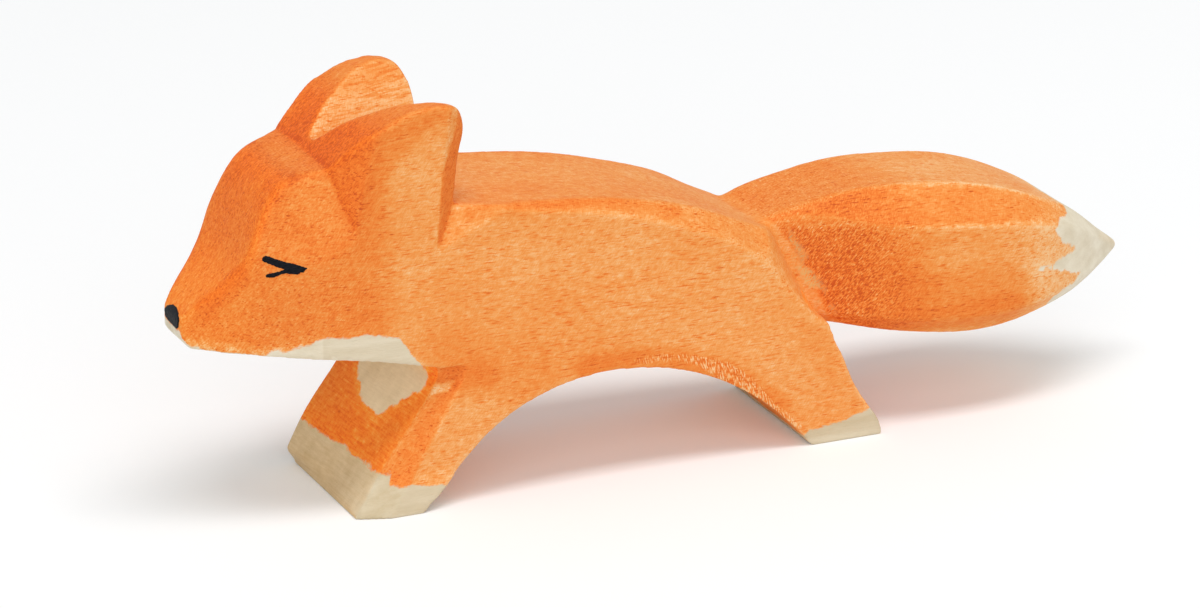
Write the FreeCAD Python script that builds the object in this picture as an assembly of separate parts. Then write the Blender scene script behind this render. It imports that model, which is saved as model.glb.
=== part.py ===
"""A running fox, carved from one board of wood, with a painted nose and painted eyes.

All sizes are in millimetres. Z is up and the soles stand on Z = 0. The muzzle points
to -X, the tail to +X, and the board's faces look to +Y and -Y. The origin is on the
ground, midway along the animal and midway through the board.
"""

import FreeCAD, Part

import os

from FreeCAD import Vector

# The board, and the run of the animal from the front of the muzzle to the tail's tip.
board_thickness = 20.0
forehead_length = 15.2
ear_root_length = 13.8
back_length = 38.8
tail_length = 46.6

# Heights above the ground along the upper outline.
muzzle_top_height = 23.3
crown_height = 39.5
ear_rise = 6.0
nape_height = 34.0
waist_height = 24.85

# The muzzle's blunt end, the chin under it, and heights above the ground behind them.
muzzle_depth = 2.3
chin_drop = 1.1
throat_height = 16.0
belly_height = 12.5
tail_root_height = 12.9

# Runs along the animal that set the jaw and the legs.
chin_setback = 0.9
throat_setback = 25.7
toe_setback = 16.8
front_foot_length = 8.5
foot_gap = 46.0
rear_foot_length = 8.7
rear_heel_rake = 6.3

# The head, seen from above and from the front.
muzzle_width = 5.0
brow_setback = 7.3
brow_width = 15.0
brow_drop = 6.7
cheek_length = 16.7
crown_width = 15.8
temple_foot_setback = 17.4
temple_foot_drop = 6.0
temple_undercut = 0.35

# The ears and the notch between them.
ear_length = 14.9
ear_facet_run = 4.6
ear_facet_rise = 3.4
notch_start = 1.0
notch_run = 14.6
notch_fall = 3.8
notch_depth = 12.0
notch_front_width = 17.4
notch_back_width = 24.0

# The stop cut on each side of the nape, behind the ear.
nape_cut_start = 2.4
nape_cut_drop = 4.7
nape_cut_lean = 1.0
nape_cut_rise = 12.0
nape_cut_run = 2.5
nape_cut_depth = 1.4
nape_cut_climb = 5.5
nape_ramp_run = 9.7
nape_ramp_climb = 4.5

# The bevelled edge of the back, and the rump that draws in to the waist.
nape_edge_bevel = 0.2
rump_edge_bevel = 2.9
waist_width = 11.4
rump_shoulder_run = 8.5
rump_shoulder_rise = 4.45
rump_fullness = 1.3

# The bevel on the front corners of the forelegs.
breast_bevel_run = 3.5
breast_bevel_depth = 1.2

# The tail.
tail_width = 20.0
tail_top_height = 27.8
tail_bottom_height = 9.5
tail_tip_height = 14.4
tail_bevel = 4.0
tail_under_bevel = 2.5

# The paint.
paint_depth = 0.3
nose_paint_width = 4.2
nose_paint_height = 3.4
nose_paint_wing_rise = 0.9
eye_stroke_width = 0.6
eye_setback = 10.0
eye_height = 29.4
eye_front_run = 1.9
eye_front_rise = 0.7
eye_rear_run = 2.0
eye_rear_drop = 0.5
lash_run = 1.6
lash_front_drop = 1.3
lash_rear_drop = 0.6

# Room by which a cutter runs past the wood, and the reach of the stop cut's sides.
overrun = 6.0
stop_cut_share = 3.0

overall_length = forehead_length + ear_root_length + back_length + tail_length
half_board = board_thickness / 2

# Outlines of the side view, each as shares of the box between its two end points.
forehead_shares = (
    (0.17, 0.17),
    (0.375, 0.40),
    (0.46, 0.59),
    (0.545, 0.76),
    (0.69, 0.92),
    (0.86, 0.975),
)
ear_shares = (
    (0.04, 0.11),
    (0.14, 0.34),
    (0.24, 0.55),
    (0.39, 0.755),
    (0.54, 0.92),
    (0.71, 1.0),
    (0.84, 0.98),
    (0.93, 0.87),
    (0.985, 0.63),
    (1.0, 0.36),
)
back_shares = (
    (0.20, 0.078),
    (0.33, 0.126),
    (0.46, 0.20),
    (0.59, 0.324),
    (0.72, 0.48),
    (0.86, 0.728),
)
rump_shares = (
    (0.095, 0.155),
    (0.275, 0.34),
    (0.76, 0.73),
    (0.96, 0.88),
)
belly_shares = (
    (0.09, 0.39),
    (0.18, 0.69),
    (0.285, 0.89),
    (0.42, 1.0),
    (0.54, 0.99),
    (0.65, 0.915),
    (0.75, 0.77),
    (0.86, 0.515),
)
breast_shares = ((0.21, 0.27), (0.47, 0.515), (0.71, 0.73))
jaw_shares = ((0.11, 0.24), (0.41, 0.67), (0.65, 0.84), (0.82, 0.93))

# The tail's sections: how far along, the rise to the top, the fall to the underside,
# the half-width, and the sizes of the upper and the lower bevel.
tail_shares = (
    (-0.04, 0.79, 0.20, 0.51, 0.18, 0.40),
    (0.075, 0.91, 0.26, 0.60, 0.18, 0.48),
    (0.15, 0.96, 0.36, 0.70, 0.42, 0.56),
    (0.245, 1.0, 0.53, 0.86, 0.78, 0.68),
    (0.345, 1.0, 0.73, 0.97, 0.98, 0.80),
    (0.47, 0.955, 0.95, 1.0, 1.0, 1.0),
    (0.60, 0.865, 0.97, 0.99, 0.89, 1.0),
    (0.715, 0.715, 0.80, 0.90, 0.65, 0.86),
    (0.82, 0.525, 0.62, 0.70, 0.46, 0.72),
    (0.915, 0.27, 0.33, 0.42, 0.26, 0.42),
    (0.975, 0.11, 0.12, 0.19, 0.11, 0.18),
    (1.0, 0.04, 0.045, 0.09, 0.05, 0.09),
)


def place(setback, height, side=0):
    """A point by its run back from the muzzle, its height and its distance from the middle plane."""
    return Vector(setback - overall_length / 2, side, height)


def moved_out(point, side):
    """The same point of the side view at a distance from the middle plane."""
    return Vector(point.x, side, point.z)


def between(start, end, shares):
    """Points of the side view whose run and rise are shares of the box from start to end."""
    run = end.x - start.x
    rise = end.z - start.z
    return [Vector(start.x + along * run, 0, start.z + up * rise) for along, up in shares]


def spline(points):
    """One smooth curve through the points."""
    curve = Part.BSplineCurve()
    curve.interpolate(points)
    return curve.toShape()


def face_of(edges):
    """A flat face inside a ring of edges."""
    return Part.Face(Part.Wire(edges))


def ring(points):
    """A closed ring of straight edges."""
    return Part.makePolygon(list(points) + [points[0]])


def loft(wires, ruled=True):
    """A solid through a row of closed wires."""
    return Part.makeLoft(wires, True, ruled)


def both_sides(cutter):
    """A cutter for the +Y side, and its mirror image."""
    return [cutter, cutter.mirror(Vector(0, 0, 0), Vector(0, 1, 0))]


muzzle_top = place(0, muzzle_top_height)
crease = place(forehead_length, crown_height)
nape = place(forehead_length + ear_root_length, nape_height)
waist = place(forehead_length + ear_root_length + back_length, waist_height)
toe = place(toe_setback, 0)
front_heel = place(toe_setback + front_foot_length, 0)
rear_toe = place(toe_setback + front_foot_length + foot_gap, 0)
rear_heel = place(toe_setback + front_foot_length + foot_gap + rear_foot_length, 0)
tail_root = Vector(rear_heel.x - rear_heel_rake, 0, tail_root_height)
throat = place(throat_setback, throat_height)
muzzle_lip = place(0, muzzle_top_height - muzzle_depth)
chin = place(chin_setback, muzzle_lip.z - chin_drop)
above_ears = crown_height + ear_rise + overrun


def ear_points():
    """The outline of an ear, from the crease before it to the back of its tip."""
    top_back = place(forehead_length + ear_length, crown_height + ear_rise)
    return [crease] + between(crease, top_back, ear_shares)


def back_points():
    """The line of the back from the nape to the waist."""
    return [nape] + between(nape, waist, back_shares) + [waist]


def blank():
    """Head, trunk and legs, sawn from the board along the side outline."""
    ear = ear_points()
    belly_corner = Vector(rear_toe.x, 0, belly_height)
    edges = [
        spline([muzzle_top] + between(muzzle_top, crease, forehead_shares) + [crease]),
        spline(ear),
        Part.makeLine(ear[-1], nape),
        spline(back_points()),
        Part.makeLine(waist, tail_root),
        spline([tail_root] + between(tail_root, rear_heel, rump_shares) + [rear_heel]),
        Part.makeLine(rear_heel, rear_toe),
        spline([front_heel] + between(front_heel, belly_corner, belly_shares) + [rear_toe]),
        Part.makeLine(front_heel, toe),
        spline([toe] + between(toe, throat, breast_shares) + [throat]),
        spline([throat] + between(throat, chin, jaw_shares) + [chin]),
        Part.makeLine(chin, muzzle_lip),
        Part.makeLine(muzzle_lip, muzzle_top),
    ]
    side = face_of(Part.sortEdges(edges)[0])
    side.translate(Vector(0, -half_board, 0))
    return side.extrude(Vector(0, board_thickness, 0))


def cheek_cut():
    """The taper of the head from its full width at the cheek to the muzzle."""
    muzzle = place(0, throat_height, muzzle_width / 2)
    brow = place(brow_setback, throat_height, brow_width / 2)
    cheek = place(cheek_length, throat_height, half_board)
    front = muzzle - Vector(overrun, 0, 0)
    outside = half_board + overrun
    corners = [cheek, moved_out(cheek, outside), moved_out(front, outside), front, muzzle]
    lines = [Part.makeLine(start, end) for start, end in zip(corners, corners[1:])]
    rise = Vector(0, 0, above_ears - throat_height)
    return face_of([spline([muzzle, brow, cheek])] + lines).extrude(rise)


def facet_cut(first, second, third, region, undercut=0):
    """What lies outside a flat facet through three points, within a region of the side view."""
    normal = (second - first).cross(third - first)
    on_facet = []
    for x, z in region:
        lean = normal.x * (x - first.x) + normal.z * (z - first.z)
        on_facet.append(Vector(x, first.y - undercut - lean / normal.y, z))
    outside = max(point.y for point in on_facet) + overrun
    return loft([ring(on_facet), ring([moved_out(point, outside) for point in on_facet])])


def temple_foot():
    """Where the knife line on the side of the head ends, on the board's face."""
    return place(temple_foot_setback, crown_height - temple_foot_drop, half_board)


def temple_cut():
    """The facet from the brow back to the ear, which stops in a knife line."""
    brow = place(brow_setback, crown_height - brow_drop, brow_width / 2)
    top = moved_out(crease, crown_width / 2)
    foot = temple_foot()
    front = muzzle_top.x - overrun
    region = [
        (foot.x, throat_height),
        (foot.x, foot.z),
        (top.x, top.z),
        (top.x, above_ears),
        (front, above_ears),
        (front, throat_height),
    ]
    return facet_cut(brow, top, foot, region, temple_undercut)


def ear_facet_cut():
    """The facet on the front of an ear, behind the knife line."""
    top = moved_out(crease, crown_width / 2)
    foot = temple_foot()
    rear = place(forehead_length + ear_facet_run, crown_height + ear_facet_rise, half_board)
    region = [
        (foot.x, foot.z),
        (top.x, top.z),
        (top.x, above_ears),
        (rear.x + overrun, above_ears),
        (rear.x + overrun, foot.z),
    ]
    return facet_cut(top, rear, foot, region)


def ear_notch():
    """The V between the ears, which starts at the crease, and widens and falls towards the nape."""
    wires = []
    for along, width in ((0, notch_front_width), (1, notch_back_width)):
        setback = forehead_length + notch_start + along * notch_run
        floor = place(setback, crown_height - along * notch_fall)
        mouth = floor + Vector(0, 0, notch_depth)
        wires.append(ring([floor, moved_out(mouth, width / 2), moved_out(mouth, -width / 2)]))
    return loft(wires)


def nape_cut():
    """The stop cut behind an ear: a steep facet on the ear, and a ramp out of the neck."""
    point = moved_out(nape, half_board) - Vector(nape_cut_start, 0, nape_cut_drop)
    valley = Vector(nape_cut_run, -nape_cut_depth, nape_cut_climb)
    steep = Vector(nape_cut_lean, 0, nape_cut_rise)
    ramp = Vector(nape_ramp_run, 0, nape_ramp_climb)
    outer = point - valley
    inner = point + valley * stop_cut_share
    upper = outer + steep * stop_cut_share
    rear = outer + ramp * stop_cut_share
    return tetrahedron(outer, inner, upper, rear)


def tetrahedron(first, second, third, fourth):
    """A solid with four corners."""
    corners = [first, second, third, fourth]
    faces = [Part.Face(ring([c for c in corners if c is not left_out])) for left_out in corners]
    return Part.Solid(Part.Shell(faces))


def back_bevel_cut():
    """The bevel along the edge of the back, which grows from the nape to the rump."""
    wires = []
    for point in back_points():
        along = (point.x - nape.x) / (waist.x - nape.x)
        inset = nape_edge_bevel + (rump_edge_bevel - nape_edge_bevel) * along
        past = inset / 2
        inner = Vector(point.x, half_board - inset - past, point.z + past)
        outer = Vector(point.x, half_board + past, point.z - inset - past)
        corner = Vector(point.x, outer.y, inner.z)
        wires.append(ring([inner, outer, corner]))
    return loft(wires, ruled=False)


def rump_section(height):
    """A flat wire round what is cut from beside the rump, at one height."""
    up = (height - tail_root.z) / (waist.z - tail_root.z)
    waist_x = tail_root.x + (waist.x - tail_root.x) * up
    shoulder = waist + Vector(-rump_shoulder_run, 0, rump_shoulder_rise)
    rise = (height - tail_root.z) / (shoulder.z - tail_root.z)
    shoulder_x = tail_root.x + (shoulder.x - tail_root.x) * rise
    half_waist = waist_width / 2
    start = Vector(shoulder_x, half_board, height)
    end = Vector(waist_x, half_waist, height)
    middle = (start + end) / 2 + Vector(0, rump_fullness * rise, 0)
    behind = end + Vector(overrun, 0, 0)
    outside = half_board + overrun
    corners = [end, behind, moved_out(behind, outside), moved_out(start, outside), start]
    lines = [Part.makeLine(first, second) for first, second in zip(corners, corners[1:])]
    return Part.Wire([spline([start, middle, end])] + lines)


def rump_cut():
    """The rounding of the rump, from the board's face in to the waist."""
    return loft([rump_section(tail_root.z), rump_section(nape_height)])


def breast_bevel_cut():
    """The bevel on a front corner of the forelegs, from the sole up to the throat."""
    wires = []
    past_run = breast_bevel_run / 2
    past_depth = breast_bevel_depth / 2
    for point in (toe, throat):
        inner = Vector(point.x - past_run, half_board - breast_bevel_depth - past_depth, point.z)
        outer = Vector(point.x + breast_bevel_run + past_run, half_board + past_depth, point.z)
        corner = Vector(inner.x, outer.y, point.z)
        wires.append(ring([inner, outer, corner]))
    return loft(wires)


def tail():
    """The leaf-shaped tail, through eight-sided sections."""
    wires = []
    for along, top, bottom, side, bevel, under in tail_shares:
        x = waist.x + along * tail_length
        high = tail_tip_height + top * (tail_top_height - tail_tip_height)
        low = tail_tip_height - bottom * (tail_tip_height - tail_bottom_height)
        half = side * tail_width / 2
        upper = bevel * tail_bevel
        lower = under * tail_under_bevel
        right = [(half - upper, high), (half, high - upper), (half, low + lower), (half - lower, low)]
        left = [(-y, z) for y, z in reversed(right)]
        wires.append(ring([Vector(x, y, z) for y, z in right + left]))
    return loft(wires, ruled=False)


def carved():
    """The whole animal in wood."""
    wood = blank()
    tools = [ear_notch()]
    head_cuts = (cheek_cut, temple_cut, ear_facet_cut, nape_cut)
    trunk_cuts = (back_bevel_cut, rump_cut, breast_bevel_cut)
    for cut in head_cuts + trunk_cuts:
        tools += both_sides(cut())
    for tool in tools:
        wood = wood.cut(tool)
    return wood.fuse(tail()).removeSplitter()


def stroke(points):
    """A brush stroke in the side view, round at its ends, as a prism through the board's +Y half."""
    depth = Vector(0, half_board + overrun, 0)
    radius = eye_stroke_width / 2
    solids = [Part.makeCylinder(radius, depth.y, point, Vector(0, 1, 0)) for point in points]
    for start, end in zip(points, points[1:]):
        along = (end - start).normalize()
        across = Vector(-along.z, 0, along.x) * radius
        strip = ring([start + across, end + across, end - across, start - across])
        solids.append(Part.Face(strip).extrude(depth))
    return solids[0].fuse(solids[1:]).removeSplitter()


def eye_paint(wood):
    """The two strokes of the closed eye on the +Y side, let into the wood by the paint's depth."""
    bend = place(eye_setback, eye_height)
    front = bend + Vector(-eye_front_run, 0, eye_front_rise)
    rear = bend + Vector(eye_rear_run, 0, -eye_rear_drop)
    lash_front = bend - Vector(lash_run, 0, lash_front_drop)
    lash_rear = bend - Vector(0, 0, lash_rear_drop)
    lid = stroke([front, bend, rear])
    lash = stroke([lash_front, lash_rear])
    mark = wood.common(lid.fuse(lash).removeSplitter())
    inside = wood.copy()
    inside.translate(Vector(0, -paint_depth, 0))
    return mark.cut(inside)


def nose_paint(wood):
    """The paint on the end of the muzzle, round above and pointed below."""
    top = muzzle_lip + Vector(0, 0, nose_paint_height)
    right = muzzle_lip + Vector(0, nose_paint_width / 2, nose_paint_wing_rise)
    left = moved_out(right, -right.y)
    outline = [
        Part.Arc(right, top, left).toShape(),
        Part.makeLine(left, muzzle_lip),
        Part.makeLine(muzzle_lip, right),
    ]
    mark = face_of(outline)
    mark.translate(Vector(-overrun, 0, 0))
    cap = wood.common(mark.extrude(Vector(overrun + overrun, 0, 0)))
    inside = wood.copy()
    inside.translate(Vector(paint_depth, 0, -paint_depth / 2))
    return cap.cut(inside)


def main():
    """Carve the wood, let the paint into it, and write one file for each piece."""
    os.makedirs("parts", exist_ok=True)
    wood = carved()
    nose = nose_paint(wood)
    right, left = both_sides(eye_paint(wood))
    pieces = {
        "carved_body": wood.cut([nose, right, left]),
        "nose_paint": nose,
        "left_eye_paint": left,
        "right_eye_paint": right,
    }
    for name, shape in pieces.items():
        print(name, len(shape.Solids), len(shape.Faces), shape.isValid(), round(shape.Volume, 2))
        shape.exportStep(f"parts/{name}.step")


main()
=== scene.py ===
import math

import bmesh
import bpy
import numpy as np
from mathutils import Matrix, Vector, noise
from mathutils.bvhtree import BVHTree


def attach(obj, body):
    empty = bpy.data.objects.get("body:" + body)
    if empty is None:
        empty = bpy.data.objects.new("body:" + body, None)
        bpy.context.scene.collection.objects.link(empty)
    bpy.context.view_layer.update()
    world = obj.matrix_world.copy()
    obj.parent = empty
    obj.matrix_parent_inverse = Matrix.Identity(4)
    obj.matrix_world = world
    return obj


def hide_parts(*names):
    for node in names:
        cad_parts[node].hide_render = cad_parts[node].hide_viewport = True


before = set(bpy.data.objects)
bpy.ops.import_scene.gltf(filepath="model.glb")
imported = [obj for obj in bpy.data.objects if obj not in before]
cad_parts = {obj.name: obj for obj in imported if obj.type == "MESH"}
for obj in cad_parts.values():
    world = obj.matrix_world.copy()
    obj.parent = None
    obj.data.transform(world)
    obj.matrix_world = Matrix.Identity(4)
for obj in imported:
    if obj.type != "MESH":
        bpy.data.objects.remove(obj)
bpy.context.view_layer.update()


# The carved fox. It is one piece of pale, close-grained maple, sawn from a
# 20 mm board and cut all round with a knife, so every edge is a little soft
# and every flat has a slight swell. Nothing is glued on.

mm = 0.001
carving_cell = 0.25 * mm
weld_reach = 0.001 * mm

# All in millimetres. Places along the fox count back from the end of its muzzle,
# widths from its middle, and heights from the table.
sawn_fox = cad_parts["carved_body"]
muzzle_end = round(min(corner[0] for corner in sawn_fox.bound_box) / mm, 1)
rubbing_rounds, rubbing_pull = 4, 0.5
brow_rounds, root_pull = 30, 0.25
swell_depth, swell_width = 0.09, 8.0
chatter_depth, chatter_width = 0.015, 2.4

# The shins rise from the sole at shin_foot and lean back by shin_lean with each
# step up. For each step out from the middle they stand further forward on the
# far side, and further back on the near side by (how high, how much) points.
shin_foot, shin_lean = 17.0, 0.556
shin_lead = 0.19
shin_trail = (
    (0.3, 0.0), (1.5, 0.07), (2.5, 0.11), (4.0, 0.15), (6.9, 0.19), (9.2, 0.22), (12.0, 0.24),
)

# What else the knife left or took away.
waist, waist_lead = 67.0, 0.6
sole_flare = 0.8
heel_round = 0.9
ear_reach = 0.35
tail_corner, tail_corner_size, tail_corner_fill = (72.9, 14.3), (1.6, 1.0), 0.6
thigh_back, thigh_back_size, thigh_back_fill = (75.5, 10.5), (1.8, 2.2), 0.5


def loose_copy(name, mesh):
    """Stands a copy of a mesh in the scene on its own, with its doubled corners joined."""
    welded = bmesh.new()
    welded.from_mesh(mesh)
    bmesh.ops.remove_doubles(welded, verts=welded.verts, dist=weld_reach)
    bmesh.ops.recalc_face_normals(welded, faces=welded.faces)
    copy = bpy.data.meshes.new(name)
    welded.to_mesh(copy)
    welded.free()
    thing = bpy.data.objects.new(name, copy)
    bpy.context.scene.collection.objects.link(thing)
    return thing


def worked_mesh(thing, name):
    """The mesh of a thing with the modifiers on it carried out."""
    bpy.context.view_layer.update()
    graph = bpy.context.evaluated_depsgraph_get()
    mesh = bpy.data.meshes.new_from_object(thing.evaluated_get(graph))
    mesh.name = name
    return mesh


# The sawn blank: the wood with the shallow beds of the paint filled up again,
# because the paint lies on the wood and not in it.
blank = loose_copy("fox_blank", sawn_fox.data)
fillings = [
    loose_copy("bed_filling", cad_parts[name].data)
    for name in ("nose_paint", "left_eye_paint", "right_eye_paint")
]
for filling in fillings:
    fill = blank.modifiers.new("fill", "BOOLEAN")
    fill.operation = "UNION"
    fill.solver = "EXACT"
    fill.object = filling
cells = blank.modifiers.new("cells", "REMESH")
cells.mode = "VOXEL"
cells.voxel_size = carving_cell
fox_mesh = worked_mesh(blank, "carved_fox")
for spare in [blank, *fillings]:
    bpy.data.objects.remove(spare)


def corners_of(mesh):
    """Every corner of a mesh, in millimetres."""
    flat = np.empty(len(mesh.vertices) * 3, dtype=np.float32)
    mesh.vertices.foreach_get("co", flat)
    return flat.reshape(-1, 3).astype(float) / mm


def directions_of(mesh):
    """The outward direction at every corner of a mesh."""
    flat = np.empty(len(mesh.vertices) * 3, dtype=np.float32)
    mesh.vertices.foreach_get("normal", flat)
    return flat.reshape(-1, 3).astype(float)


def put_corners(mesh, corners):
    """Gives a mesh new corners, in millimetres."""
    mesh.vertices.foreach_set("co", (corners * mm).astype(np.float32).ravel())
    mesh.update()


pairs = np.empty(len(fox_mesh.edges) * 2, dtype=np.int32)
fox_mesh.edges.foreach_get("vertices", pairs)
pairs = pairs.reshape(-1, 2)
neighbours = np.bincount(pairs.ravel(), minlength=len(fox_mesh.vertices)).astype(float)


def middled(values):
    """The mean of each corner's neighbours, for one column or for several."""
    columns = values.reshape(len(values), -1)
    total = np.empty_like(columns)
    for i in range(columns.shape[1]):
        total[:, i] = np.bincount(pairs[:, 0], columns[pairs[:, 1], i], len(values))
        total[:, i] += np.bincount(pairs[:, 1], columns[pairs[:, 0], i], len(values))
    return (total / neighbours[:, None]).reshape(values.shape)


wood = corners_of(fox_mesh)
for _ in range(rubbing_rounds):
    wood += rubbing_pull * (middled(wood) - wood)


def ramp(values, low, high):
    """0 below low, 1 above high, and a smooth rise between them."""
    share = np.clip((values - low) / (high - low), 0.0, 1.0)
    return share * share * (3.0 - 2.0 * share)


def fade(values, low, high):
    """1 below low, 0 above high, and a smooth fall between them."""
    return 1.0 - ramp(values, low, high)


def along(line, place):
    """The second value of a line of points, at a place among the first ones."""
    steps = np.array(line)
    return np.interp(place, steps[:, 0], steps[:, 1])


# The knife never cut quite square. The front of the fore legs stands further
# back on the near side, where the sole spreads too and the heel is rounded, and
# the cut at the root of the tail is further forward on the far side. A little
# wood is left below that cut and behind the thigh, and the ears reach back.
setback, width, height = wood[:, 0] - muzzle_end, wood[:, 1].copy(), wood[:, 2]


def close_by(spot, size):
    """1 at a spot on the side of the fox, and a smooth fall to 0 round it."""
    (back, up), (length, rise) = spot, size
    return np.exp(-((setback - back) / length) ** 2 - ((height - up) / rise) ** 2)


behind_shin = setback - shin_foot - shin_lean * height
on_shin = fade(behind_shin, 0.5, 6.0) * fade(height, 14.0, 18.0)
lead = shin_lead * ramp(height, 0.0, 2.2) * (1.0 - 0.5 * ramp(height, 6.0, 13.0))
lead *= np.maximum(width, 0.0)
trail = along(shin_trail, height) * np.maximum(-width, 0.0)
wood[:, 0] += (trail - lead) * on_shin
at_waist = fade(np.abs(setback - waist), 2.0, 8.0)
wood[:, 0] -= waist_lead * at_waist * ramp(width, 0.0, 9.0) * ramp(height, 14.0, 20.0)
on_fore_foot = fade(setback, 34.0, 40.0)
on_fore_sole = fade(height, 0.0, 5.0) * on_fore_foot
wood[:, 1] -= sole_flare * on_fore_sole * ramp(-width, 4.0, 10.0)
at_heel = fade(height, 0.0, 2.8) * ramp(setback, 20.0, 25.5) * on_fore_foot
wood[:, 0] -= heel_round * at_heel * ramp(-width, 5.0, 9.5)
below_tail_cut = close_by(tail_corner, tail_corner_size) * ramp(np.abs(width), 6.0, 8.5)
wood[:, 0] += tail_corner_fill * below_tail_cut
wood[:, 0] += thigh_back_fill * close_by(thigh_back, thigh_back_size)
wood[:, 0] += ear_reach * ramp(height, 38.0, 43.0) * ramp(setback, 25.0, 29.0)

# The brow is rubbed rounder than the rest, and so is the root of the tail.
soft_brow = fade(setback, 13.0, 15.0) * ramp(height, 24.5, 27.5)
soft_root = ramp(setback, 66.0, 68.0) * fade(setback, 75.0, 77.0) * ramp(height, 13.5, 15.5)
pull = (rubbing_pull * soft_brow + root_pull * soft_root)[:, None]
for _ in range(brow_rounds):
    wood += pull * (middled(wood) - wood)

# Swells left by the knife strokes, and the finer chatter of its edge. The soles
# stay flat.
put_corners(fox_mesh, wood)
outward = directions_of(fox_mesh)
swell = np.array(
    [
        swell_depth * noise.noise(Vector(corner) / swell_width)
        + chatter_depth * noise.noise(Vector(corner) / chatter_width)
        for corner in wood
    ]
)
swell *= ramp(wood[:, 2], 0.2, 1.5)
wood += outward * swell[:, None]
put_corners(fox_mesh, wood)
outward = directions_of(fox_mesh)
fox_mesh.shade_smooth()

fox = bpy.data.objects.new("carved_fox", fox_mesh)
bpy.context.scene.collection.objects.link(fox)
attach(fox, "root")
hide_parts("carved_body")


# The stain. It is thin orange watercolour, brushed on the bare maple. The feet,
# the tip of the tail, the throat and a patch on the chest are left bare, and
# the colour is deeper where the brush was full and in the end grain.

# Where the stain stops: how far back, and how high on the side. The front of
# the fore legs and the chest go by how far across instead.
fore_foot_front = (
    (-9.4, 3.9), (-8.8, 4.4), (-5.7, 4.8), (-2.5, 4.6), (0.2, 5.2), (1.9, 4.8),
    (5.7, 5.4), (8.0, 5.3), (9.9, 5.8),
)
fore_foot_side = (
    (19.6, 4.3), (20.3, 4.0), (20.9, 3.4), (21.7, 3.2), (23.2, 3.3), (24.7, 2.8),
    (26.6, 2.7), (28.5, 2.3), (31.0, 2.1),
)
hind_foot_side = (
    (62.0, 1.0), (68.0, 1.1), (70.3, 1.2), (71.3, 1.8), (73.5, 2.1), (75.4, 2.4),
    (77.2, 2.9), (78.5, 3.1), (80.5, 3.4),
)
throat_side = (
    (-1.0, 20.0), (0.8, 20.1), (2.6, 19.8), (4.4, 19.6), (7.7, 19.6), (8.6, 20.0), (9.6, 20.2),
    (11.1, 20.7), (14.3, 21.3), (17.5, 21.3), (20.4, 21.0), (22.1, 20.1), (23.2, 18.5),
    (24.4, 17.1), (25.0, 16.0), (26.5, 12.0),
)
chest_patch = (
    (4.9, 19.0), (4.3, 12.0), (2.9, 11.0), (1.5, 10.3), (-0.9, 9.4), (-3.0, 8.9),
    (-4.6, 10.4), (-7.2, 12.7), (-7.4, 14.0), (-5.8, 15.2), (-5.0, 19.0),
)
tail_flames = (
    (104.4, 25.0), (104.9, 21.5), (103.4, 21.3), (101.9, 20.6), (103.4, 18.9), (105.8, 17.6),
    (105.4, 17.0), (102.6, 16.9), (99.8, 16.4), (102.6, 15.4), (106.4, 14.3), (105.6, 13.5),
    (103.9, 13.1), (102.4, 12.5), (102.2, 9.0), (118.0, 8.0), (118.0, 25.0),
)

# Where the brush was fuller or thinner, given in the same way.
dark_ear = (
    (28.7, 47.0), (28.7, 44.9), (25.3, 43.2), (23.0, 41.3), (21.5, 39.8), (20.2, 37.9),
    (19.5, 36.2), (18.0, 34.6), (17.2, 33.2), (16.3, 35.8), (15.4, 39.2), (13.5, 41.0),
    (20.0, 47.0),
)
pale_temple = (
    (12.2, 38.8), (15.4, 39.0), (16.4, 35.8), (17.1, 33.3), (15.6, 32.2), (14.1, 31.9),
    (12.8, 33.9), (11.4, 35.2), (10.2, 36.0), (10.9, 37.0),
)
shin_ledge = ((25.9, 12.6), (26.6, 13.9), (28.6, 14.2), (28.0, 13.2))

# Where the backs of the ears and the tail start: how high, and how far back.
ear_back_edge = (
    (29.6, 26.5), (33.5, 26.4), (37.4, 26.9), (39.0, 27.6), (41.0, 28.4), (43.0, 29.3),
)
tail_start = (
    (9.0, 82.0), (13.8, 74.8), (16.2, 73.8), (18.8, 72.4), (21.8, 70.9), (24.2, 69.3),
    (25.2, 68.5), (30.0, 61.0),
)


def depth_in(outline, across, up):
    """How far each point lies inside a closed outline; negative outside it."""
    closest = np.full(len(across), np.inf)
    inside = np.zeros(len(across), dtype=bool)
    for (a, b), (c, d) in zip(outline, outline[1:] + outline[:1]):
        run, rise = c - a, d - b
        share = ((across - a) * run + (up - b) * rise) / (run * run + rise * rise)
        share = np.clip(share, 0.0, 1.0)
        gap = np.hypot(across - a - share * run, up - b - share * rise)
        closest = np.minimum(closest, gap)
        if rise:
            crossed = (b > up) != (d > up)
            inside ^= crossed & (across < a + (up - b) * run / rise)
    return np.where(inside, closest, -closest)


def gap_to(line, points):
    """How far each point lies from a line given as points in space."""
    closest = np.full(len(points), np.inf)
    for start, end in zip(line, line[1:]):
        start, end = np.array(start), np.array(end)
        run = end - start
        share = np.clip((points - start) @ run / (run @ run), 0.0, 1.0)
        off = points - start - share[:, None] * run
        closest = np.minimum(closest, np.linalg.norm(off, axis=1))
    return closest


setback, width, height = wood[:, 0] - muzzle_end, wood[:, 1], wood[:, 2]
mirrored = np.stack([setback, np.abs(width), height], axis=1)
far_side = ramp(width, 1.0, 4.0)


def close_to(line, whole, gone):
    """1 as far as whole from a line that runs along both sides, and 0 beyond gone."""
    return fade(gap_to(line, mirrored), whole, gone)


# How deep each place lies in a bare patch. Whatever a patch can't reach counts
# as stained, and on the far side the brush stopped at slightly other places.
out_of_reach, deepest = -9.0, 6.0
foot_top, fore_leg_back, hind_leg_front, tip_front = 8.0, 36.0, 58.0, 90.0
throat_bottom, throat_back = 15.0, 26.5
chin_top, chin_back = 21.75, 1.6
on_feet = height < foot_top
on_tip = setback > tip_front

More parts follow.
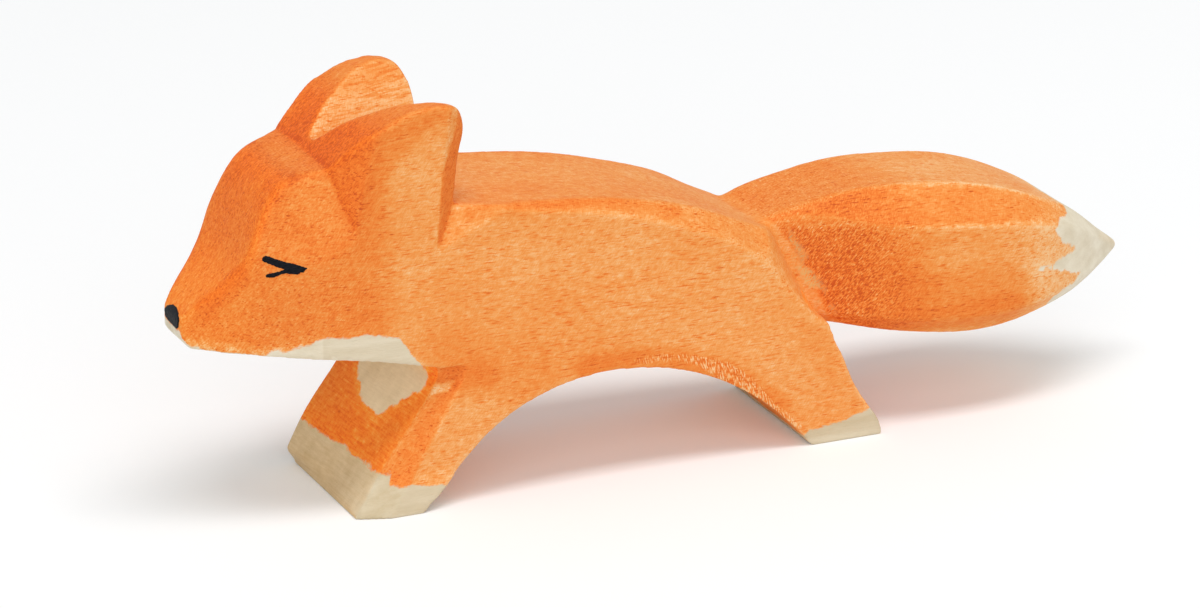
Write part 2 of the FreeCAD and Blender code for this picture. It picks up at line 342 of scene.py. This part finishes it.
behind_shin = setback - shin_foot - shin_lean * height
shin_side = ramp(behind_shin - along(shin_trail, height) * np.maximum(-width, 0.0), 0.3, 0.9)
fore_edge = along(fore_foot_front, width) * (1.0 - shin_side)
fore_edge += shin_side * (along(fore_foot_side, setback) + 0.4 * far_side)
bare_fore = np.where((setback < fore_leg_back) & on_feet, fore_edge - height, out_of_reach)

hind_edge = along(hind_foot_side, setback) + 0.3 * far_side * np.sin(setback)
bare_hind = np.where((setback > hind_leg_front) & on_feet, hind_edge - height, out_of_reach)

on_throat = (height > throat_bottom) & (setback < throat_back)
bare_throat = along(throat_side, setback) - height
bare_throat += 2.5 * np.clip(-outward[:, 2] - 0.6, 0.0, 1.0)
bare_throat = np.where(on_throat, bare_throat, out_of_reach)

faces_forward = (outward[:, 0] < -0.2) & (setback < 30.0) & (height > 7.0)
bare_chest = np.where(faces_forward, depth_in(chest_patch, width, height), out_of_reach)

on_chin = (setback < chin_back) & (outward[:, 0] < -0.5)
bare_chin = np.where(on_chin, chin_top - height, out_of_reach)
bare_chin -= 1.5 * ramp(np.abs(outward[:, 1]), 0.45, 0.6)

flame_shift = far_side * (1.1 * np.sin(1.3 * height) - 0.4)
flames = depth_in(tail_flames, setback + flame_shift, height)
bare_tail = np.where(on_tip, flames, out_of_reach)

bare = np.max([bare_fore, bare_hind, bare_throat, bare_chest, bare_chin, bare_tail], axis=0)
bare = np.clip(bare, -deepest, deepest)

# How much colour each place took up, from 0 for a thin wash to 1 for a full
# one, and what some smaller places gained or lost.
side_wash = 0.30
head_wash = 0.53
brow_wash = 0.68
tail_wash = 0.28
tail_root_wash = 0.76
shin_wash = 0.54
saddle_wash = 0.36
ear_inside_wash = 0.08
ear_tip_gain = 0.18
ear_back_gain = 0.36
dark_ear_gain = 0.22
temple_loss = 0.15
snout_loss = 0.20
ridge_loss = 0.10
# painted shade: more colour on the tail's upward bevel, against the strong light on it
tail_bevel_shade = 0.16
tail_rim_loss = 0.14
chest_rim_loss = 0.16
shin_ledge_loss = 0.50
brow_blend_rounds = 14

on_head = fade(setback, 18.0, 23.0) * ramp(height, 17.0, 20.0)
on_brow = np.clip(0.8 * outward[:, 2] - 0.9 * outward[:, 0], 0.0, 1.0)  # faces up and ahead
for _ in range(brow_blend_rounds):
    on_brow = middled(on_brow)
on_dark_ear = ramp(depth_in(dark_ear, setback, height), -0.8, 0.5)
on_temple = ramp(depth_in(pale_temple, setback, height), -0.8, 0.8)
on_ledge = ramp(depth_in(shin_ledge, setback, height), -0.2, 0.2) * (width < -7.0)
ear_inside = ramp(-outward[:, 1] * np.sign(width), 0.35, 0.6) * ramp(height, 38.5, 40.5)
ear_back = ramp(setback - along(ear_back_edge, height), -0.15, 0.2) * ramp(outward[:, 0], 0.1, 0.3)
ear_back *= ramp(height, 29.0, 30.5) * fade(setback, 30.5, 31.5)
on_tail = ramp(setback - along(tail_start, height), -0.4, 0.4) * ramp(height, 9.0, 12.0)
at_root = on_tail * fade(setback, 76.0, 90.0) * (1.0 - 0.55 * ramp(height, 23.5, 25.5))
on_ridge = ramp(outward[:, 2], 0.7, 0.9) * ramp(setback, 12.0, 12.6) * fade(setback, 14.6, 15.4)
on_bevel = on_tail * ramp(outward[:, 2], 0.3, 0.45) * fade(outward[:, 2], 0.75, 0.88)

full = side_wash + (head_wash - side_wash) * on_head
full += (brow_wash - head_wash) * on_head * on_brow
full -= snout_loss * on_head * on_brow * fade(height, 27.0, 33.0)
full += dark_ear_gain * on_dark_ear * (1.0 - 0.5 * on_head)
full -= temple_loss * on_temple
full -= ridge_loss * on_ridge * on_head
full += ear_back_gain * ear_back
full += (ear_inside_wash + ear_tip_gain * ramp(height, 42.5, 44.5) - full) * ear_inside
full += (tail_wash - side_wash) * on_tail + (tail_root_wash - tail_wash) * at_root
# Painted shade: the upward bevel of the tail is darkened to even out the strong light it gets.
full += tail_bevel_shade * on_bevel
full += (shin_wash - side_wash) * fade(behind_shin, 4.0, 4.5) * fade(height, 14.0, 15.5)
full += (saddle_wash - side_wash) * ramp(outward[:, 2], 0.3, 0.8) * (1.0 - on_tail)
full -= chest_rim_loss * fade(-bare_chest, 0.3, 1.1)
full -= shin_ledge_loss * on_ledge
full -= tail_rim_loss * ramp(bare_tail, -4.5, -0.4)

# The lines that took up more: edges that the brush ran along, cuts that it ran
# into and spots where it was put down. Their points are how far back, how far
# out and how high.
back_edge = (
    (30.6, 9.4, 33.1), (36.2, 9.7, 33.2), (41.1, 9.4, 32.8), (45.9, 8.9, 32.3),
    (50.8, 8.8, 31.0), (55.0, 8.7, 29.8),
)
knife_line = ((15.3, 7.9, 39.2), (16.3, 8.8, 36.0), (17.2, 9.7, 33.2))
ear_crease = (
    (15.6, 0.0, 40.0), (15.4, 4.3, 39.7), (15.3, 7.8, 39.5), (16.2, 8.4, 40.1), (17.9, 9.2, 41.5),
    (19.6, 10.0, 42.5),
)
brow_drop = ((11.7, 6.0, 38.9), (12.2, 6.6, 38.6))
shoulder = ((27.0, 9.9, 17.5), (33.0, 10.0, 15.5), (38.0, 10.0, 14.5))
fore_pool = ((27.0, 9.5, 14.6), (31.5, 10.0, 14.6))
low_tail = ((84.0, 9.8, 15.8), (90.0, 10.0, 15.0), (96.0, 9.6, 14.6))
arch_edge = (
    (44.0, 10.0, 13.4), (50.0, 10.0, 13.2), (55.1, 10.0, 12.4), (59.9, 10.0, 10.4),
    (63.0, 10.0, 8.4), (67.0, 10.0, 4.8),
)
snout_pool = ((2.2, 4.4, 24.8), (5.2, 6.4, 28.6))
under_tail = ((80.0, 9.0, 12.0), (88.0, 9.9, 12.0), (96.0, 9.8, 12.2))
throat_cut = ((24.9, 9.0, 16.0), (26.9, 9.4, 14.2))
blotch_length = 5.0
blotches = np.array([noise.noise(Vector((x / blotch_length, 0.0, 0.0))) for x in setback])

# (line, what it gained, how far the whole gain reaches, where it ends)
brushed_lines = (
    (back_edge, 0.20 + 0.25 * blotches, 0.2, 1.6),
    (knife_line, 0.12, 0.1, 0.45),
    (ear_crease, 0.10, 0.1, 0.5),
    (brow_drop, 0.25, 0.2, 0.7),
    (shoulder, 0.12, 1.0, 5.0),
    (fore_pool, 0.20, 0.8, 3.0),
    (low_tail, 0.16, 1.5, 4.5),
    (arch_edge, 0.26, 0.8, 2.2),
    (snout_pool, 0.20, 0.5, 1.9),
    (under_tail, 0.16, 1.0, 3.0),
    (throat_cut, 0.35, 0.1, 0.5),
)
for line, gain, whole, gone in brushed_lines:
    full += gain * close_to(line, whole, gone)

# Where the colour has been rubbed thin again: the raised edges of the tail and
# the edge of the jaw.
tail_ridge = (
    (81.0, 7.2, 26.2), (83.4, 6.8, 26.8), (87.4, 6.2, 27.2), (91.2, 6.1, 26.9), (96.2, 6.3, 25.8),
    (99.9, 6.6, 24.4), (103.9, 6.3, 22.2),
)
tail_brow = (
    (71.4, 6.0, 24.4), (76.7, 7.7, 24.4), (82.1, 9.4, 23.9), (88.1, 9.9, 23.4),
    (94.4, 9.8, 22.7), (99.9, 9.0, 21.9),
)
jaw_edge = ((0.5, 3.0, 20.3), (3.0, 4.9, 20.0), (8.0, 7.7, 19.9), (13.0, 9.2, 20.6))

# (line, what it lost, how far the whole loss reaches, where it ends)
rubbed_lines = (
    (tail_ridge, 0.6, 0.05, 0.45), (tail_brow, 0.6, 0.05, 0.5), (jaw_edge, 0.9, 0.3, 1.3),
)
thin = np.zeros(len(wood))
for line, loss, whole, gone in rubbed_lines:
    thin = np.maximum(thin, loss * close_to(line, whole, gone))

# Short nicks that the knife left across the edge of the arch. They reach
# furthest half way up the thigh, and are fainter at both ends of the row.
nick_line = (
    (50.0, 10.0, 13.4), (54.7, 10.0, 13.1), (57.3, 10.0, 12.2), (60.4, 10.0, 10.5),
    (62.7, 10.0, 9.0), (64.8, 10.0, 6.9), (69.6, 10.0, 2.6),
)
nick_reach = 0.6 + 0.5 * np.exp(-((setback - 61.5) / 3.0) ** 2)
nicked = fade(gap_to(nick_line, mirrored) / nick_reach, 0.5, 1.5)
nicked *= (0.62 + 0.38 * ramp(setback, 55.0, 60.0)) * (1.0 - 0.40 * ramp(setback, 64.5, 66.5))

# The crumbled grain at the root of the tail, with bare flecks along its start,
# and, much fainter, on the head.
tail_fringe = (
    (69.3, 5.6, 24.2), (70.9, 5.9, 21.8), (72.4, 6.3, 18.8), (73.8, 6.7, 16.2), (74.8, 6.8, 13.8),
)
stipple = at_root * (1.0 - 0.5 * ramp(setback, 80.0, 90.0)) + 0.32 * on_head
flecked = close_to(tail_fringe, 0.3, 1.2)

# Where the bare wood is paler, as on the tail, or greyer, as on the feet. On the
# faces turned forward it is painted paler as well; this is painted light, set
# against the shade under the chin and on the fronts of the feet.
pale = 0.25 * on_tip + 0.02 * (on_head > 0.5) - 0.26 * on_feet
pale += 0.20 * faces_forward + 0.14 * on_feet * ramp(-outward[:, 0], 0.6, 0.8)

# How far a face is turned to the end of the board, across the grain.
end_grain = np.abs(outward[:, 0]) * fade(height, 17.0, 19.0)

# The edges the knife left, raised ones above 0 and hollow ones below.
levelling_rounds, softening_rounds = 6, 2
sharp_edge = 0.12
levelled = wood
for _ in range(levelling_rounds):
    levelled = middled(levelled)
edge = np.sum((wood - levelled) * outward, axis=1)
for _ in range(softening_rounds):
    edge = middled(edge)
edge = np.clip(edge / sharp_edge, -1.0, 1.0) * (1.0 - 0.7 * on_head)

# What the stain goes by at each corner of the mesh. The grain stands open only
# inside the ears.
layers = {
    "bare": bare, "full": full, "thin": thin, "edge": edge, "nicked": nicked,
    "open_grain": ear_inside, "end_grain": end_grain, "stipple": stipple, "flecked": flecked,
    "pale": pale, "brow": on_head * on_brow * ramp(-outward[:, 0], 0.25, 0.6),
}
for title, values in layers.items():
    layer = fox_mesh.attributes.new(title, "FLOAT", "POINT")
    layer.data.foreach_set("value", values.astype(np.float32))

# The flats need fewer facets than the edges do.
facets_kept = 0.47
thinning = fox.modifiers.new("thinning", "DECIMATE")
thinning.ratio = facets_kept
fox_mesh = worked_mesh(fox, "carved_fox_wood")
fox.modifiers.clear()
fox.data = fox_mesh
fox_mesh.shade_smooth()

stained_maple = bpy.data.materials.new("stained_maple")
stained_maple.use_nodes = True


def painter(material):
    """Empties a material and returns a call that adds one shader node to it.

    The call takes the node's kind, what goes in each of its sockets, and its options.
    """
    tree = material.node_tree
    tree.nodes.clear()

    def put(kind, sockets=None, **options):
        made = tree.nodes.new("ShaderNode" + kind)
        for option, value in options.items():
            setattr(made, option, value)
        for socket, value in (sockets or {}).items():
            if isinstance(value, bpy.types.NodeSocket):
                tree.links.new(value, made.inputs[socket])
            else:
                made.inputs[socket].default_value = value
        return made

    return put


def colour(red, green, blue):
    """A colour as a shader takes it, from the 0 to 255 values of a paint chart."""
    chart = [value / 255 for value in (red, green, blue)]
    return [v / 12.92 if v <= 0.04045 else ((v + 0.055) / 1.055) ** 2.4 for v in chart] + [1.0]


def own_place():
    """Each point's own place on the fox, in millimetres."""
    sockets = {0: put("TexCoord").outputs["Object"], 1: (1 / mm, 1 / mm, 1 / mm)}
    return put("VectorMath", sockets, operation="MULTIPLY").outputs[0]


# The calls below add to the material that put stands for, at its own place.
put = painter(stained_maple)
place = own_place()


def stretched(x, y, z):
    """The place on the fox, drawn out or in by so much each way."""
    return put("VectorMath", {0: place, 1: (x, y, z)}, operation="MULTIPLY").outputs[0]


def soft_noise(vector, detail, roughness):
    """Soft noise about 0.5, read at a place."""
    sockets = {"Vector": vector, "Scale": 1.0, "Detail": detail, "Roughness": roughness}
    return put("TexNoise", sockets).outputs[0]


def speckle(x, y, z, detail=2.0, roughness=0.5):
    """Noise with so many waves to the millimetre each way."""
    return soft_noise(stretched(x, y, z), detail, roughness)


def turned(angle, x, y, z, detail=2.0, roughness=0.5):
    """Noise in strokes so many millimetres long that lean by an angle, seen from the side."""
    sockets = {"Vector": place, "Rotation": (0, math.radians(angle), 0), "Scale": (x, y, z)}
    leaning = put("Mapping", sockets, vector_type="TEXTURE").outputs[0]
    return soft_noise(leaning, detail, roughness)


def sums(operation, first, second, third=None):
    """One step of arithmetic on two or three values."""
    sockets = {0: first, 1: second}
    if third is not None:
        sockets[2] = third
    return put("Math", sockets, operation=operation).outputs[0]


def swing(value, amount):
    """Noise turned into a swing either way of 0."""
    return sums("MULTIPLY_ADD", value, 2.0 * amount, -amount)


def stepped(value, low, high, to_low=0.0, to_high=1.0):
    """A value brought from one range to another, with a smooth start and end."""
    sockets = {0: value, 1: low, 2: high, 3: to_low, 4: to_high}
    return put("MapRange", sockets, interpolation_type="SMOOTHSTEP").outputs[0]


def taken_from(title):
    """One of the layers worked out above for the fox."""
    return put("Attribute", attribute_name=title).outputs["Fac"]


def shades(share, steps):
    """A share turned into colour, by (share, paint chart colour) steps."""
    row = put("ValToRGB", {"Fac": share})
    while len(row.color_ramp.elements) < len(steps):
        row.color_ramp.elements.new(0.5)
    for element, (where, shade) in zip(row.color_ramp.elements, steps):
        element.position, element.color = where, colour(*shade)
    return row.outputs[0]


def blended(share, under, over, way="MIX"):
    """One colour with a share of another over it."""
    sockets = {0: share, 6: under, 7: over}
    return put("Mix", sockets, data_type="RGBA", blend_type=way).outputs[2]


# The marks of brush, wood and blade: the cloudy wash, the mottle and the leaning
# hairs of the brush, the fibres, dashes and vessels that run with the grain, the
# saw lines across it, and the crumbs and nicks that the knife left.
clouds = speckle(0.10, 0.17, 0.17, 2.0)
mottle = speckle(0.9, 1.5, 1.5, 3.0, 0.65)
hairs = turned(35, 0.13, 0.4, 0.65, 2.0, 0.6)
fibre = speckle(0.9, 6.0, 6.0, 2.0, 0.65)
dashes = stepped(speckle(0.75, 6.0, 6.0, 1.0, 0.5), 0.60, 0.72)
ear_lines = stepped(speckle(0.30, 0.5, 4.2, 2.0, 0.5), 0.48, 0.62)
saw_lines = speckle(3.2, 0.16, 4.2, 2.0, 0.6)
crumbs = turned(40, 0.14, 0.26, 0.44, 1.5, 0.55)
nick_strokes = turned(-14, 0.14, 0.5, 0.75, 1.0, 0.5)
worn_patches = stepped(speckle(1.2, 1.2, 1.2, 3.0, 0.7), 0.32, 0.62)

vessel_cell = put("TexVoronoi", {"Vector": stretched(0.55, 3.6, 3.6), "Scale": 1.0},
                  feature="F1").outputs["Distance"]
vessel = stepped(vessel_cell, 0.08, 0.34, 1.0, 0.0)
vessel = sums("MULTIPLY", vessel, stepped(speckle(0.35, 0.9, 0.9, 1.0), 0.42, 0.62))

flecks = sums("MULTIPLY", taken_from("flecked"), stepped(crumbs, 0.42, 0.54))
flecks = sums("MULTIPLY", flecks, stepped(speckle(0.42, 0.42, 0.42, 1.0), 0.47, 0.58))
nick_row = stepped(sums("ADD", taken_from("nicked"), swing(mottle, 0.5)), 0.25, 0.75)
nick_share = sums("MULTIPLY", nick_row, stepped(nick_strokes, 0.42, 0.62, -0.35, 1.0))

# The marks that run with the grain don't show where the board is cut across, and
# the brush's own hardly show inside the ears.
cut_across = stepped(taken_from("end_grain"), 0.60, 0.95)
with_grain = sums("MULTIPLY_ADD", cut_across, -0.85, 1.0)
calm = sums("MULTIPLY_ADD", taken_from("open_grain"), -0.9, 1.0)

# (mark, how much more or less colour the wood takes up for it)
marks = (
    (swing(clouds, 0.16), 1.0),
    (swing(mottle, 0.24), calm),
    (swing(hairs, 0.28), 1.0),
    (swing(fibre, 0.28), sums("MULTIPLY", with_grain, calm)),
    (sums("MULTIPLY", dashes, with_grain), 0.32),
    (sums("MULTIPLY", ear_lines, taken_from("open_grain")), 0.24),
    (swing(saw_lines, 0.70), cut_across),
    (swing(crumbs, 1.1), taken_from("stipple")),
    (sums("MULTIPLY", vessel, with_grain), 0.40),
    (sums("MULTIPLY", worn_patches, taken_from("thin")), -0.40),
    (nick_share, -0.50),
    (taken_from("edge"), -0.16),
)
drying_loss = 0.03
taken_up = sums("SUBTRACT", taken_from("full"), drying_loss)
for mark, weight in marks:
    taken_up = sums("MULTIPLY_ADD", mark, weight, taken_up)

stain = shades(taken_up, (
    (0.00, (244, 196, 142)), (0.15, (242, 172, 104)), (0.30, (238, 153, 76)),
    (0.45, (236, 138, 58)), (0.62, (233, 122, 43)), (0.82, (224, 107, 32)),
    (1.00, (200, 84, 24)),
))

# The bare maple is paler and darker by its rings, and on end grain by the marks
# of the saw as well.
grain = speckle(0.05, 0.75, 0.6, 2.0, 0.5)
rings = put("Mix", {0: sums("MULTIPLY", cut_across, 0.6), 2: grain, 3: saw_lines}).outputs[0]
rings = sums("ADD", sums("ADD", rings, taken_from("pale")), swing(fibre, 0.14))
maple = shades(rings, ((0.10, (200, 182, 148)), (1.00, (238, 228, 206))))

# Both the stain and the bare wood are deeper and warmer on end grain, and the
# stain half as much so on the brow. Part of this tint is painted light and shade,
# set for how the faces turned to the front and the brow are lit.
end_stain_and_shade_tint = (1.26, 1.02, 0.34, 1.0)
end_maple_and_shade_tint = (1.07, 0.89, 0.68, 1.0)
deep_and_shaded = sums("MAXIMUM", cut_across, sums("MULTIPLY", taken_from("brow"), 0.5))
deep_shaded_stain = blended(deep_and_shaded, stain, end_stain_and_shade_tint, "MULTIPLY")
deep_shaded_maple = blended(cut_across, maple, end_maple_and_shade_tint, "MULTIPLY")

# The stain stops at a ragged edge that follows the fibres, and leaves out the
# flecks at the root of the tail.
stain_stop = sums("ADD", taken_from("bare"), swing(speckle(0.55, 0.55, 0.55, 3.0, 0.55), 0.75))
stain_stop = sums("ADD", stain_stop, swing(fibre, 0.25))
skin = blended(stepped(stain_stop, -0.16, 0.16), deep_shaded_stain, deep_shaded_maple)
skin = blended(sums("MULTIPLY", flecks, 0.8), skin, colour(222, 180, 112))

# The pores and the raised fibres can be felt, and the wood is nearly dull.
pore_depth = 0.08
wood_gloss, glossiest, dullest = 0.20, 0.56, 0.72
relief = sums("MULTIPLY_ADD", vessel, -0.8, fibre)
relief = sums("MULTIPLY_ADD", mottle, 0.6, relief)
grain_bump = put("Bump", {"Strength": 0.35, "Distance": pore_depth * mm, "Height": relief})
finish = put("BsdfPrincipled", {
    "Base Color": skin, "Roughness": stepped(mottle, 0.2, 0.8, glossiest, dullest),
    "Normal": grain_bump.outputs[0], "Specular IOR Level": wood_gloss,
})
put("OutputMaterial", {"Surface": finish.outputs[0]})
fox_mesh.materials.clear()
fox_mesh.materials.append(stained_maple)


# The nose and the two closed eyes. Each is a thick touch of matt black paint,
# put on the finished wood with a small brush, so it stands a little proud and
# its edge is not quite even.

# In millimetres. The underside of a film lies in the wood and its edge just
# clear of it, and it grows to a whole coat in a lip along that edge.
dab_cell = 0.06
dab_bed, dab_lift, dab_lip = 0.12, 0.02, 0.16
nose_coat, eye_coat = 0.09, 0.06
ragged_edge, ragged_wave = 0.07, 0.25
bristle_ridge, bristle_waves, bristle_depth = 0.25, (2, 8), 0.06
before_nose, beside_head = -70, 30
wood_tree = BVHTree.FromPolygons(
    [Vector(corner) for corner in corners_of(fox_mesh)],
    [face.vertices[:] for face in fox_mesh.polygons],
)

matt_black = bpy.data.materials.new("matt_black_paint")
matt_black.use_nodes = True
put = painter(matt_black)
place = own_place()
bristles = speckle(1.6, 7.0, 7.0, 2.0, 0.6)
black = shades(bristles, ((0.35, (3, 4, 7)), (0.75, (26, 28, 36))))
streaks = put("Bump", {"Strength": 0.5, "Distance": bristle_depth * mm, "Height": bristles})
coat = put("BsdfPrincipled", {
    "Base Color": black, "Roughness": stepped(bristles, 0.3, 0.7, 0.42, 0.6),
    "Normal": streaks.outputs[0], "Specular IOR Level": 0.09,
})
put("OutputMaterial", {"Surface": coat.outputs[0]})


def gap_to_strokes(strokes, across, up):
    """How far a point lies outside brush strokes of (across, up, half width) points."""
    closest = math.inf
    for stroke in strokes:
        for (a, b, r), (c, d, s) in zip(stroke, stroke[1:]):
            run, rise = c - a, d - b
            share = ((across - a) * run + (up - b) * rise) / (run * run + rise * rise)
            share = min(max(share, 0.0), 1.0)
            gap = math.hypot(across - a - share * run, up - b - share * rise)
            closest = min(closest, gap - r - share * (s - r))
    return closest


def dab(name, node, strokes, corner, aim, thickness):
    """A film of paint on the wood in the shape of some brush strokes.

    corner turns (across, up) into a point off the wood, and aim leads from there to it.
    """
    span = [point for stroke in strokes for point in stroke]
    margin = 3 * dab_cell
    left = min(p[0] - p[2] for p in span) - margin
    low = min(p[1] - p[2] for p in span) - margin
    columns = math.ceil((max(p[0] + p[2] for p in span) + margin - left) / dab_cell)
    rows = math.ceil((max(p[1] + p[2] for p in span) + margin - low) / dab_cell)

    def outside(across, up):
        """How far a point lies outside the edge, which is ragged in its own way on each film."""
        ragged = noise.noise(Vector((across, up, corner(0, 0).y)) / ragged_wave)
        return gap_to_strokes(strokes, across, up) + ragged_edge * ragged

    film = bmesh.new()
    grid = {}
    gaps = {
        (i, j): outside(left + i * dab_cell, low + j * dab_cell)
        for i in range(columns + 1) for j in range(rows + 1)
    }

    def film_corner(i, j):
        """The upper and the lower corner of the film at one place.

        A corner outside the edge is drawn in to it, which makes the edge smooth.
        """
        if (i, j) not in grid:
            across, up, gap = left + i * dab_cell, low + j * dab_cell, gaps[i, j]
            if gap > 0:
                nudge = dab_cell / 3
                slope = Vector((
                    outside(across + nudge, up) - gap, outside(across, up + nudge) - gap,
                ))
                if slope.length:
                    slope.normalize()
                    across, up = across - gap * slope.x, up - gap * slope.y
                gap = 0.0
            spot, lean, _, _ = wood_tree.ray_cast(corner(across, up), aim)
            bristle = Vector((across * bristle_waves[0], up * bristle_waves[1], 0))
            ridges = 1.0 + bristle_ridge * noise.noise(bristle)
            rise = dab_lift + thickness * ridges * min(1.0, -gap / dab_lip) ** 0.5
            grid[i, j] = (
                film.verts.new((spot + lean * rise) * mm),
                film.verts.new((spot - lean * dab_bed) * mm),
            )
        return grid[i, j]

    kept = {
        (i, j) for i in range(columns) for j in range(rows)
        if sum(gaps[i + a, j + b] < 0 for a in (0, 1) for b in (0, 1)) >= 2
    }
    for i, j in kept:
        ring = [
            film_corner(i, j), film_corner(i + 1, j),
            film_corner(i + 1, j + 1), film_corner(i, j + 1),
        ]
        film.faces.new([pair[0] for pair in ring])
        film.faces.new([pair[1] for pair in reversed(ring)])
        for k, beside in enumerate(((i, j - 1), (i + 1, j), (i, j + 1), (i - 1, j))):
            if beside not in kept:
                a, b = ring[k], ring[(k + 1) % 4]
                film.faces.new((b[0], a[0], a[1], b[1]))
    bmesh.ops.recalc_face_normals(film, faces=film.faces)
    mesh = bpy.data.meshes.new(name)
    film.to_mesh(mesh)
    film.free()
    mesh.shade_smooth()
    mesh.materials.append(matt_black)
    piece = bpy.data.objects.new(name, mesh)
    bpy.context.scene.collection.objects.link(piece)
    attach(piece, "root")
    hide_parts(node)


# (how far back or across, how high, half the width of the brush mark)
nose_touch = (
    ((1.35, 23.2, 0.3), (0.5, 23.5, 0.3), (-0.45, 23.5, 0.3), (-1.4, 23.3, 0.3),
     (-1.95, 23.0, 0.33), (-1.85, 22.4, 0.3), (-1.5, 22.1, 0.28), (-0.7, 22.12, 0.3),
     (0.9, 22.2, 0.3), (1.7, 22.4, 0.3), (1.8, 22.75, 0.33), (1.35, 23.2, 0.3)),
    ((-1.3, 22.7, 0.5), (1.2, 22.8, 0.45)),
    ((-1.0, 23.0, 0.45), (1.0, 23.0, 0.4)),
)
near_eye_strokes = (
    ((7.95, 30.55, 0.37), (8.7, 30.22, 0.38), (9.7, 29.80, 0.40), (10.6, 29.5, 0.45),
     (11.45, 29.3, 0.36), (11.95, 29.38, 0.08)),
    ((8.05, 28.70, 0.20), (8.6, 28.76, 0.26), (9.3, 29.0, 0.18), (9.9, 29.2, 0.28),
     (11.0, 29.1, 0.34)),
)
far_eye_strokes = (
    ((7.7, 30.45, 0.35), (8.6, 30.15, 0.37), (9.6, 29.72, 0.36), (10.5, 29.42, 0.36),
     (11.35, 29.25, 0.34), (11.8, 29.36, 0.10)),
    ((7.85, 28.75, 0.25), (8.6, 28.82, 0.27), (9.4, 29.1, 0.23), (10.2, 29.3, 0.27),
     (11.0, 29.15, 0.3)),
)
dab("nose", "nose_paint", nose_touch,
    lambda across, up: Vector((before_nose, across, up)), Vector((1, 0, 0)), nose_coat)
dab("near_eye", "left_eye_paint", near_eye_strokes,
    lambda across, up: Vector((across + muzzle_end, -beside_head, up)), Vector((0, 1, 0)),
    eye_coat)
dab("far_eye", "right_eye_paint", far_eye_strokes,
    lambda across, up: Vector((across + muzzle_end, beside_head, up)), Vector((0, -1, 0)),
    eye_coat)


# The table. It is a wide sheet of matt white board, with no edge or join in
# sight, that takes the soft shadow of the fox.

table_reach = 1.5
board_white = 0.92
board_glow = 0.09
sheet = bmesh.new()
bmesh.ops.create_grid(sheet, x_segments=8, y_segments=8, size=table_reach)
table_mesh = bpy.data.meshes.new("table")
sheet.to_mesh(table_mesh)
sheet.free()
table = bpy.data.objects.new("table", table_mesh)
bpy.context.scene.collection.objects.link(table)

# Seen straight, the board is a shade whiter than the light that it gives back.
white_board = bpy.data.materials.new("white_board")
white_board.use_nodes = True
put = painter(white_board)
matt = put("BsdfDiffuse", {"Color": (board_white, board_white, board_white, 1.0)})
glow = put("Emission", {"Color": (1, 1, 1, 1), "Strength": board_glow})
both = put("AddShader", {0: matt.outputs[0], 1: glow.outputs[0]})
seen = put("LightPath").outputs["Is Camera Ray"]
board = put("MixShader", {0: seen, 1: matt.outputs[0], 2: both.outputs[0]})
put("OutputMaterial", {"Surface": board.outputs[0]})
table_mesh.materials.append(white_board)


# The light. A long soft box hangs over the table, a broad weak lamp stands by
# the camera, and the rest comes off the white walls of the room.

# Sizes and places are in metres.
wall_light = 0.47
wall_tint = (0.97, 0.99, 1.0, 1)
box_length, box_width, box_watts = 0.85, 0.25, 4.2
box_place = (0.0, -0.20, 0.90)
lamp_strength, lamp_spread = 0.95, math.radians(60)
lamp_side = (-0.35, -0.85, 0.40)

# Seen straight, the walls are plain white. What they send to the fox is weaker.
room = bpy.data.worlds.new("white_room")
bpy.context.scene.world = room
room.use_nodes = True
put = painter(room)
path = put("LightPath").outputs
straight = sums("MAXIMUM", path["Is Camera Ray"], path["Is Glossy Ray"])
straight = sums("MAXIMUM", straight, path["Is Transmission Ray"])
walls = put("Background", {"Color": wall_tint, "Strength": wall_light})
white = put("Background", {"Color": (1, 1, 1, 1), "Strength": 1.0})
mixed = put("MixShader", {0: straight, 1: walls.outputs[0], 2: white.outputs[0]})
put("OutputWorld", {"Surface": mixed.outputs[0]})

soft_box = bpy.data.lights.new("soft_box", "AREA")
soft_box.shape = "RECTANGLE"
soft_box.size, soft_box.size_y = box_length, box_width
soft_box.energy = box_watts
box_stand = bpy.data.objects.new("soft_box", soft_box)
box_stand.location = box_place
box_stand.rotation_euler = Vector(box_place).to_track_quat("Z", "Y").to_euler()
bpy.context.scene.collection.objects.link(box_stand)

front_lamp = bpy.data.lights.new("front_lamp", "SUN")
front_lamp.energy = lamp_strength
front_lamp.angle = lamp_spread
lamp_stand = bpy.data.objects.new("front_lamp", front_lamp)
lamp_stand.rotation_euler = Vector(lamp_side).to_track_quat("Z", "Y").to_euler()
bpy.context.scene.collection.objects.link(lamp_stand)


# The camera. It stands low on the near side, a little ahead of the fox, with a
# long lens.

aim = Vector((-7.26, 0.0, 16.62)) * mm
camera_turn, camera_rise = math.radians(-24.10), math.radians(20.16)
camera_distance = 0.6
lens_length = 163.17
back = Vector((
    math.sin(camera_turn) * math.cos(camera_rise),
    -math.cos(camera_turn) * math.cos(camera_rise),
    math.sin(camera_rise),
))
lens = bpy.data.cameras.new("camera")
lens.sensor_width = 36
lens.lens = lens_length
lens.clip_start = 0.01
camera = bpy.data.objects.new("camera", lens)
camera.location = aim + back * camera_distance
camera.rotation_euler = back.to_track_quat("Z", "Y").to_euler()
bpy.context.scene.collection.objects.link(camera)
bpy.context.scene.camera = camera
bpy.context.scene.view_settings.view_transform = "Standard"
